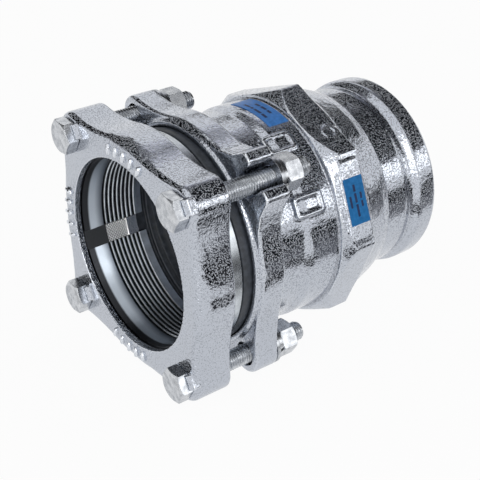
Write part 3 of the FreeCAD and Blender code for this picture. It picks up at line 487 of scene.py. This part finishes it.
def easeEdge(mesh, look):                          # front edge eased between the corners
    for vertex in mesh.vertices:
        radius = math.hypot(vertex.co.y, vertex.co.z)
        away = abs(2 * vertex.co.y * vertex.co.z) / radius ** 2
        amount = max(0, 1 - max(0, vertex.co.x) / (look["long"] * mm)) ** 2
        amount *= max(0, 1 - away / look["corner"])
        amount *= min(1, max(0, (radius / mm - look["inner"]) / (look["outer"] - look["inner"])))
        vertex.co.yz *= 1 - look["depth"] * mm * amount / radius


def hollowWaist(mesh, look):                       # waist in front of the bead
    for vertex in mesh.vertices:
        share = abs(vertex.co.x - look["middle"] * mm) / (look["half"] * mm)
        radius = math.hypot(vertex.co.y, vertex.co.z)
        if share < 1 and radius > look["inner"] * mm:
            vertex.co.yz *= 1 - look["depth"] * mm * (1 - share * share) ** 2 / radius


def castPiece(node, look):
    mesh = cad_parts[node].data.copy()
    piece = newPiece(look["name"], mesh, castZinc, look["body"])
    if node == "body_casting":
        cutThreadRoom(piece, socketThread)
    skin = piece.modifiers.new("skin", "REMESH")
    skin.mode = "VOXEL"
    skin.voxel_size = look["voxel"] * mm
    skin.use_smooth_shade = True
    melt = piece.modifiers.new("melt", "SMOOTH")
    melt.factor = 0.5
    melt.iterations = look["melt"]
    applied(piece)
    if "eased" in look:
        easeEdge(piece.data, look["eased"])
    if "hollow" in look:
        hollowWaist(piece.data, look["hollow"])
    fewer = piece.modifiers.new("fewer", "DECIMATE")
    fewer.ratio = look["kept"]                     # flat stretches need fewer faces than edges do
    for size, depth in ((1, 1), (fineWaves["size"], fineWaves["depth"])):
        pattern = bpy.data.textures.new(look["name"] + "Waves", "CLOUDS")
        pattern.noise_scale = look["waves"] * size * mm
        pattern.noise_depth = 1
        uneven = piece.modifiers.new("uneven", "DISPLACE")
        uneven.texture = pattern
        uneven.texture_coords = "LOCAL"
        uneven.strength = look["uneven"] * depth * mm
        uneven.mid_level = 0.5
    applied(piece)
    piece.data.shade_smooth()
    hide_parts(node)
    print(node, "dressed with", len(piece.data.polygons), "faces")


for node, look in castings.items():
    castPiece(node, look)


glandBars = {
    "inner": 61.9, "outer": 68.0, "wide": 2.1, "high": 1.6, "round": 0.35,
    "rows": (93, 0, -89), "count": 5, "step": 6.8,
}


def faceBars(look):                                # raised bars on the gland's face
    work = bmesh.new()
    for row in look["rows"]:
        for place in range(look["count"]):
            angle = math.radians(row + (place - (look["count"] - 1) / 2) * look["step"])
            middle = (look["inner"] + look["outer"]) / 2
            size = (2 * look["high"] * mm, (look["outer"] - look["inner"]) * mm,
                    look["wide"] * mm, 1)
            form = (Matrix.Rotation(angle, 4, "X") @ Matrix.Translation((0, middle * mm, 0))
                    @ Matrix.Diagonal(size))
            bmesh.ops.create_cube(work, size=1, matrix=form)
    bmesh.ops.bevel(work, geom=work.edges, offset=look["round"] * mm, segments=2,
                    affect="EDGES")
    mesh = bpy.data.meshes.new("glandBars")
    work.to_mesh(mesh)
    work.free()
    newPiece("glandBars", mesh, castZinc, "gland_group")


faceBars(glandBars)
print("gland bars ready")


# Threads: one strip that winds round its axis, flattened at both ends

def windingPoint(along, radius, angle):            # angle from +Z, sizes in mm
    return (along * mm, -radius * math.sin(angle) * mm, radius * math.cos(angle) * mm)


def bandFaces(first, rows, steps):                 # joins rows of points that go round the axis
    faces = []
    for row in range(rows - 1):
        here, there = first + row * steps, first + (row + 1) * steps
        for step in range(steps):
            after = (step + 1) % steps
            faces.append((here + step, here + after, there + after, there + step))
    return faces


def windingPoints(minor, major, pitch, start, end, steps, taper):
    points = []
    faces = []
    turns = math.ceil((end - start) / pitch) + 2
    shape = ((0.0, 0), (0.375, 1), (0.5, 1), (0.875, 0))
    count = len(shape)
    total = turns * steps
    for i in range(total + 1):
        angle = 2 * math.pi * i / steps
        for share, high in shape:
            along = start + pitch * (i / steps - 1 + share)
            fade = max(0.0, min(1.0, (along - start) / taper, (end - along) / taper))
            radius = minor + (major - minor) * high * fade
            along = min(max(along, start), end)
            points.append(windingPoint(along, radius, angle))
    for i in range(total):
        here, there = i * count, (i + 1) * count
        for k in range(count - 1):
            faces.append((here + k, here + k + 1, there + k + 1, there + k))
        if i + steps + 1 <= total:
            faces.append((here + count - 1, here + steps * count, there + steps * count,
                          there + count - 1))
    return points, faces


boltForm = {
    "major": 5.92, "minor": 5.0, "pitch": 1.75, "threadFrom": 21.0, "length": 85.0,
    "head": 7.5, "flats": 19.0, "bevel": 0.55, "steps": 28,
}
cornerPlaces = {1: (-1, 1), 2: (-1, -1), 3: (1, -1), 4: (1, 1)}
boltHalf = 56.0


def hexagonRadius(angle, flats):
    part = (angle + math.pi / 6) % (math.pi / 3) - math.pi / 6
    return flats / 2 / math.cos(part)


def boltMesh(name, look):
    points, faces = windingPoints(look["minor"], look["major"], look["pitch"],
                                  look["threadFrom"], look["length"], look["steps"], 1.6)
    steps = 60
    disc = look["flats"] / 2 - 0.25
    slope = math.tan(math.radians(30))
    rings = []                                     # (place, radius) at each step
    for step in range(steps):
        angle = 2 * math.pi * step / steps
        corner = hexagonRadius(angle + math.pi / 6, look["flats"])
        drop = max(0.0, (corner - disc) * slope)
        rings.append([(-look["head"] + 0.25, 0.02), (-look["head"] + 0.25, disc - 1.6),
                      (-look["head"], disc - 1.0), (-look["head"], disc),
                      (-look["head"] + drop, corner), (-0.45, corner), (-0.2, disc + 0.1),
                      (0.0, disc - 0.4), (0.0, look["major"]),
                      (look["threadFrom"] + 0.2, look["major"] - 0.02),
                      (look["threadFrom"] + 1.0, look["minor"] + 0.02)])
    first = len(points)
    count = len(rings[0])
    for step, ring in enumerate(rings):
        angle = 2 * math.pi * step / steps
        for along, radius in ring:
            points.append(ringPoint(along, radius, angle))
    for step in range(steps):
        here, there = first + step * count, first + ((step + 1) % steps) * count
        for k in range(count - 1):
            faces.append((here + k, here + k + 1, there + k + 1, there + k))
    tip = len(points)
    for along, radius in ((look["length"] - 0.4, look["minor"] + 0.05),
                          (look["length"], look["minor"] - 0.3), (look["length"], 0.02)):
        for step in range(look["steps"]):
            angle = 2 * math.pi * step / look["steps"]
            points.append(windingPoint(along, radius, angle))
    faces += bandFaces(tip, 3, look["steps"])
    return meshFrom(name, points, faces)


for corner, (side, up) in cornerPlaces.items():
    mesh = boltMesh("boltThread_%d" % corner, boltForm)
    mesh.transform(Matrix.Translation((0, side * boltHalf * mm, up * boltHalf * mm)))
    bolt = newPiece("boltThreaded_%d" % corner, mesh, fastenerZinc, "gland_group",
                    28)
    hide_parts("bolt_%d" % corner)
print("bolts ready")


def threadRing(look):
    points, faces = windingPoints(look["major"], look["minor"], look["pitch"],
                                  look["start"], look["end"], 120, 1.0)
    for i, (along, side, up) in enumerate(points):  # the mouth is chamfered
        reach = math.hypot(side, up)
        wide = (look["mouth"] - max(0.0, look["end"] - along / mm) * 0.9) * mm
        if reach < wide:
            points[i] = (along, side * wide / reach, up * wide / reach)
    steps = 120
    first = len(points)
    for along, radius in ((look["start"], look["major"]), (look["start"], look["back"]),
                          (look["end"], look["back"]), (look["end"], look["mouth"])):
        for step in range(steps):
            angle = 2 * math.pi * step / steps
            points.append(windingPoint(along, radius, angle))
    faces += bandFaces(first, 4, steps)
    return meshFrom("socketThread", points, faces)


newPiece("socketThread", threadRing(socketThread), ringZinc, "body_group",
         28)
print("socket thread ready")


# Rubber seal: rounded lips where it shows in the gap between the castings

sealForm = [                                       # (x, radius) in mm
    (35.7, 61.4), (35.6, 62.4), (35.6, 65.0), (35.9, 65.7), (36.6, 66.0), (40.6, 66.0),
    (41.2, 65.8), (62.0, 62.6), (62.1, 61.9), (62.1, 59.6), (59.1, 57.9), (55.4, 57.9),
    (54.8, 58.3), (54.2, 57.9), (51.0, 57.9), (50.5, 58.3), (50.5, 61.0), (50.1, 61.3)]
seal = newPiece("rubberSealRing", turnedMesh("rubberSealRing", sealForm, 180), sealRubber,
                "body_group", 35)
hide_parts("rubber_seal")
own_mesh(seal)
print("seal ready")

# Solids whose form is right keep it and get their finish
finishes = {
    "clamp_ring": ringZinc, "thrust_ring": turnedZinc, "bridge_plate": knurledPlate,
    "ring_spacer": spacerPlastic, "barrel_label": labelFilm, "collar_label": collarFilm,
}
for corner in cornerPlaces:
    for kind in ("washer", "spring_washer", "nut"):
        finishes["%s_%d" % (kind, corner)] = fastenerZinc
for node, material in finishes.items():
    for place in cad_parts[node].material_slots:
        place.material = material
print("solids finished")


# Labels: rows of plain bars on the blue films, sizes in mm

labelPrint = {
    "lift": 0.34,              # above the casting
    "cuts": 6,                 # along a bar, so that it follows the barrel
    "barrel": {"radius": 67.5, "middle": 95.5, "angle": 89.0, "rows": (
        (-3.2, 1.9, ((-11.0, -6.4), (-5.4, 0.8), (1.8, 4.2), (5.2, 10.6))),
        (2.2, 1.9, ((-8.2, -4.6), (-3.6, 1.4), (2.4, 6.8))))},
    "collar": {"middle": 117.5, "angle": 22.5, "reach": 70.75, "rows": (
        (-4.2, 1.5, ((-3.6, 3.4),)),
        (-0.2, 1.7, ((-9.6, -2.2), (-1.2, 4.4), (5.4, 9.6))),
        (3.8, 1.5, ((-4.4, -0.8), (0.4, 4.2))))},
}


def barrelPoint(look, along, around, lift):
    angle = math.radians(look["angle"]) + around / look["radius"]
    radius = look["radius"] + lift
    return (along * mm, -radius * math.cos(angle) * mm, radius * math.sin(angle) * mm)


def collarPoint(look, along, around, lift):
    angle = math.radians(look["angle"])
    reach = look["reach"] + lift
    side = -reach * math.cos(angle) + around * math.sin(angle)
    up = reach * math.sin(angle) + around * math.cos(angle)
    return (along * mm, side * mm, up * mm)


def printBars(name, look, onSurface):
    lift, pieces = labelPrint["lift"], labelPrint["cuts"]
    points = []
    faces = []
    for offset, height, bars in look["rows"]:
        for start, end in bars:
            for k in range(pieces + 1):
                around = start + (end - start) * k / pieces
                for edge in (-0.5, 0.5):
                    along = look["middle"] + offset + edge * height
                    points.append(onSurface(look, along, around, lift))
            first = len(points) - 2 * (pieces + 1)
            for k in range(pieces):
                low = first + 2 * k
                faces.append((low, low + 1, low + 3, low + 2))
    newPiece(name, meshFrom(name, points, faces), labelInk, "body_group")


printBars("barrelLabelPrint", labelPrint["barrel"], barrelPoint)
printBars("collarLabelPrint", labelPrint["collar"], collarPoint)
print("labels ready")


# Studio: pale floor, soft lamps, and graded cards that only reflections see

studio = {
    "worldLight": 0.55,
    "floor": {"height": -75.8, "half": 8, "shade": 0.92, "seen": 0.94, "mirrored": 0.80},
    "cardBlue": 1.08,          # the cards are a little blue
    "lamps": (
        # name, place, aim, width, height, brightness, colour
        ("keyLamp", (-0.75, -0.95, 0.85), (0.08, 0, 0), 0.45, 0.45, 3.0, (1.0, 0.99, 0.97)),
        ("sideLamp", (0.95, -1.30, 0.46), (0.12, 0, 0), 1.5, 0.40, 1.1, (1.0, 1.0, 1.0)),
        ("frontLamp", (-0.70, -1.20, 0.48), (0.10, 0, 0), 0.9, 0.6, 1.6, (1.0, 1.0, 1.0)),
    ),
    "cards": (
        # name, middle, width along X, depth along Y, brightness at shares of the depth
        ("topCard", (1.40, -0.35, 1.0), 2.3, 2.4,
         ((0.0, 0.30), (0.12, 0.03), (0.5, 0.02), (0.74, 0.02), (0.84, 0.25), (1.0, 0.90))),
        ("lowCard", (1.602, -1.54, -0.07), 2.935, 2.80,
         ((0.0, 0.25), (0.5, 0.04), (0.9, 0.01), (1.0, 0.20))),
        ("sideCard", (0.11, -0.173, -0.069), 0.12, 0.055, ((0.0, 0.05), (1.0, 0.05))),
        ("neckCard", (0.595, 0.30, 0.26), 0.50, 0.60, ((0.0, 0.02), (1.0, 0.02))),
        ("backCard", (-2.3, 2.7, 1.0), 5.5, 4.5,
         ((0.0, 0.20), (0.08, 0.01), (0.80, 0.01), (1.0, 0.2))),
    ),
}


def aimed(place, aim):
    direction = Vector(aim) - Vector(place)
    return Matrix.Translation(place) @ direction.to_track_quat("-Z", "Y").to_matrix().to_4x4()


def makeLamp(name, place, aim, width, height, brightness, color):
    data = bpy.data.lights.new(name, "AREA")
    data.shape = "RECTANGLE"
    data.size = width
    data.size_y = height
    data.energy = brightness * math.pi * width * height
    data.color = color
    lamp = bpy.data.objects.new(name, data)
    scene.collection.objects.link(lamp)
    lamp.matrix_world = aimed(place, aim)


def sheetMesh(name, width, depth):
    mesh = bpy.data.meshes.new(name)
    corners = ((-0.5, -0.5), (0.5, -0.5), (0.5, 0.5), (-0.5, 0.5))
    mesh.from_pydata([(width * x, depth * y, 0) for x, y in corners], [], [(0, 1, 2, 3)])
    return mesh


def makeCard(name, place, width, depth, stops):    # its brightness changes along its depth
    mesh = sheetMesh(name, width, depth)
    material = bpy.data.materials.new(name)
    material.use_nodes = True
    tree = material.node_tree
    along = addNode(tree, "SeparateXYZ", {0: addNode(tree, "TexCoord").outputs["Generated"]})
    graded = addNode(tree, "ValToRGB", {0: along.outputs["Y"]})
    ramp = graded.color_ramp
    while len(ramp.elements) < len(stops):
        ramp.elements.new(0.5)
    for element, (share, level) in zip(ramp.elements, stops):
        element.position = share
        element.color = (level, level, level * studio["cardBlue"], 1)
    glow = addNode(tree, "Emission", {"Color": graded.outputs["Color"]})
    tree.links.new(glow.outputs[0], tree.nodes["Material Output"].inputs["Surface"])
    mesh.materials.append(material)
    card = bpy.data.objects.new(name, mesh)
    card.location = place
    scene.collection.objects.link(card)
    card.visible_camera = False
    card.visible_diffuse = False
    card.visible_shadow = False


def makeFloor(look):
    mesh = sheetMesh("floor", 2 * look["half"], 2 * look["half"])
    material = bpy.data.materials.new("floorPaper")
    material.use_nodes = True
    tree = material.node_tree
    paper = tree.nodes["Principled BSDF"]
    paper.inputs["Base Color"].default_value = (look["shade"], look["shade"], look["shade"], 1)
    paper.inputs["Roughness"].default_value = 0.9
    paper.inputs["Specular IOR Level"].default_value = 0.1
    white = addNode(tree, "Emission", {"Color": (1, 1, 1, 1), "Strength": 1.0})
    path = addNode(tree, "LightPath")
    mirrored = reckon(tree, "MAXIMUM", path.outputs["Is Glossy Ray"],
                      path.outputs["Is Transmission Ray"])
    share = reckon(tree, "MAXIMUM",
                   reckon(tree, "MULTIPLY", path.outputs["Is Camera Ray"], look["seen"]),
                   reckon(tree, "MULTIPLY", mirrored, look["mirrored"]))
    mixed = addNode(tree, "MixShader", {0: share, 1: paper.outputs[0], 2: white.outputs[0]})
    tree.links.new(mixed.outputs[0], tree.nodes["Material Output"].inputs["Surface"])
    mesh.materials.append(material)
    floor = bpy.data.objects.new("floor", mesh)
    floor.location.z = look["height"] * mm
    scene.collection.objects.link(floor)


def makeWorld(strength):
    world = bpy.data.worlds.new("studioWorld")
    scene.world = world
    world.use_nodes = True
    tree = world.node_tree
    tree.nodes.clear()
    path = addNode(tree, "LightPath")
    seen = reckon(tree, "MAXIMUM", path.outputs["Is Camera Ray"], reckon(
        tree, "MAXIMUM", path.outputs["Is Glossy Ray"], path.outputs["Is Transmission Ray"]))
    soft = addNode(tree, "Background", {"Color": (1, 1, 1, 1), "Strength": strength})
    white = addNode(tree, "Background", {"Color": (1, 1, 1, 1), "Strength": 1.0})
    mixed = addNode(tree, "MixShader", {0: seen, 1: soft.outputs[0], 2: white.outputs[0]})
    output = addNode(tree, "OutputWorld")
    tree.links.new(mixed.outputs[0], output.inputs["Surface"])


makeWorld(studio["worldLight"])
makeFloor(studio["floor"])
for lamp in studio["lamps"]:
    makeLamp(*lamp)
for card in studio["cards"]:
    makeCard(*card)
print("studio ready")
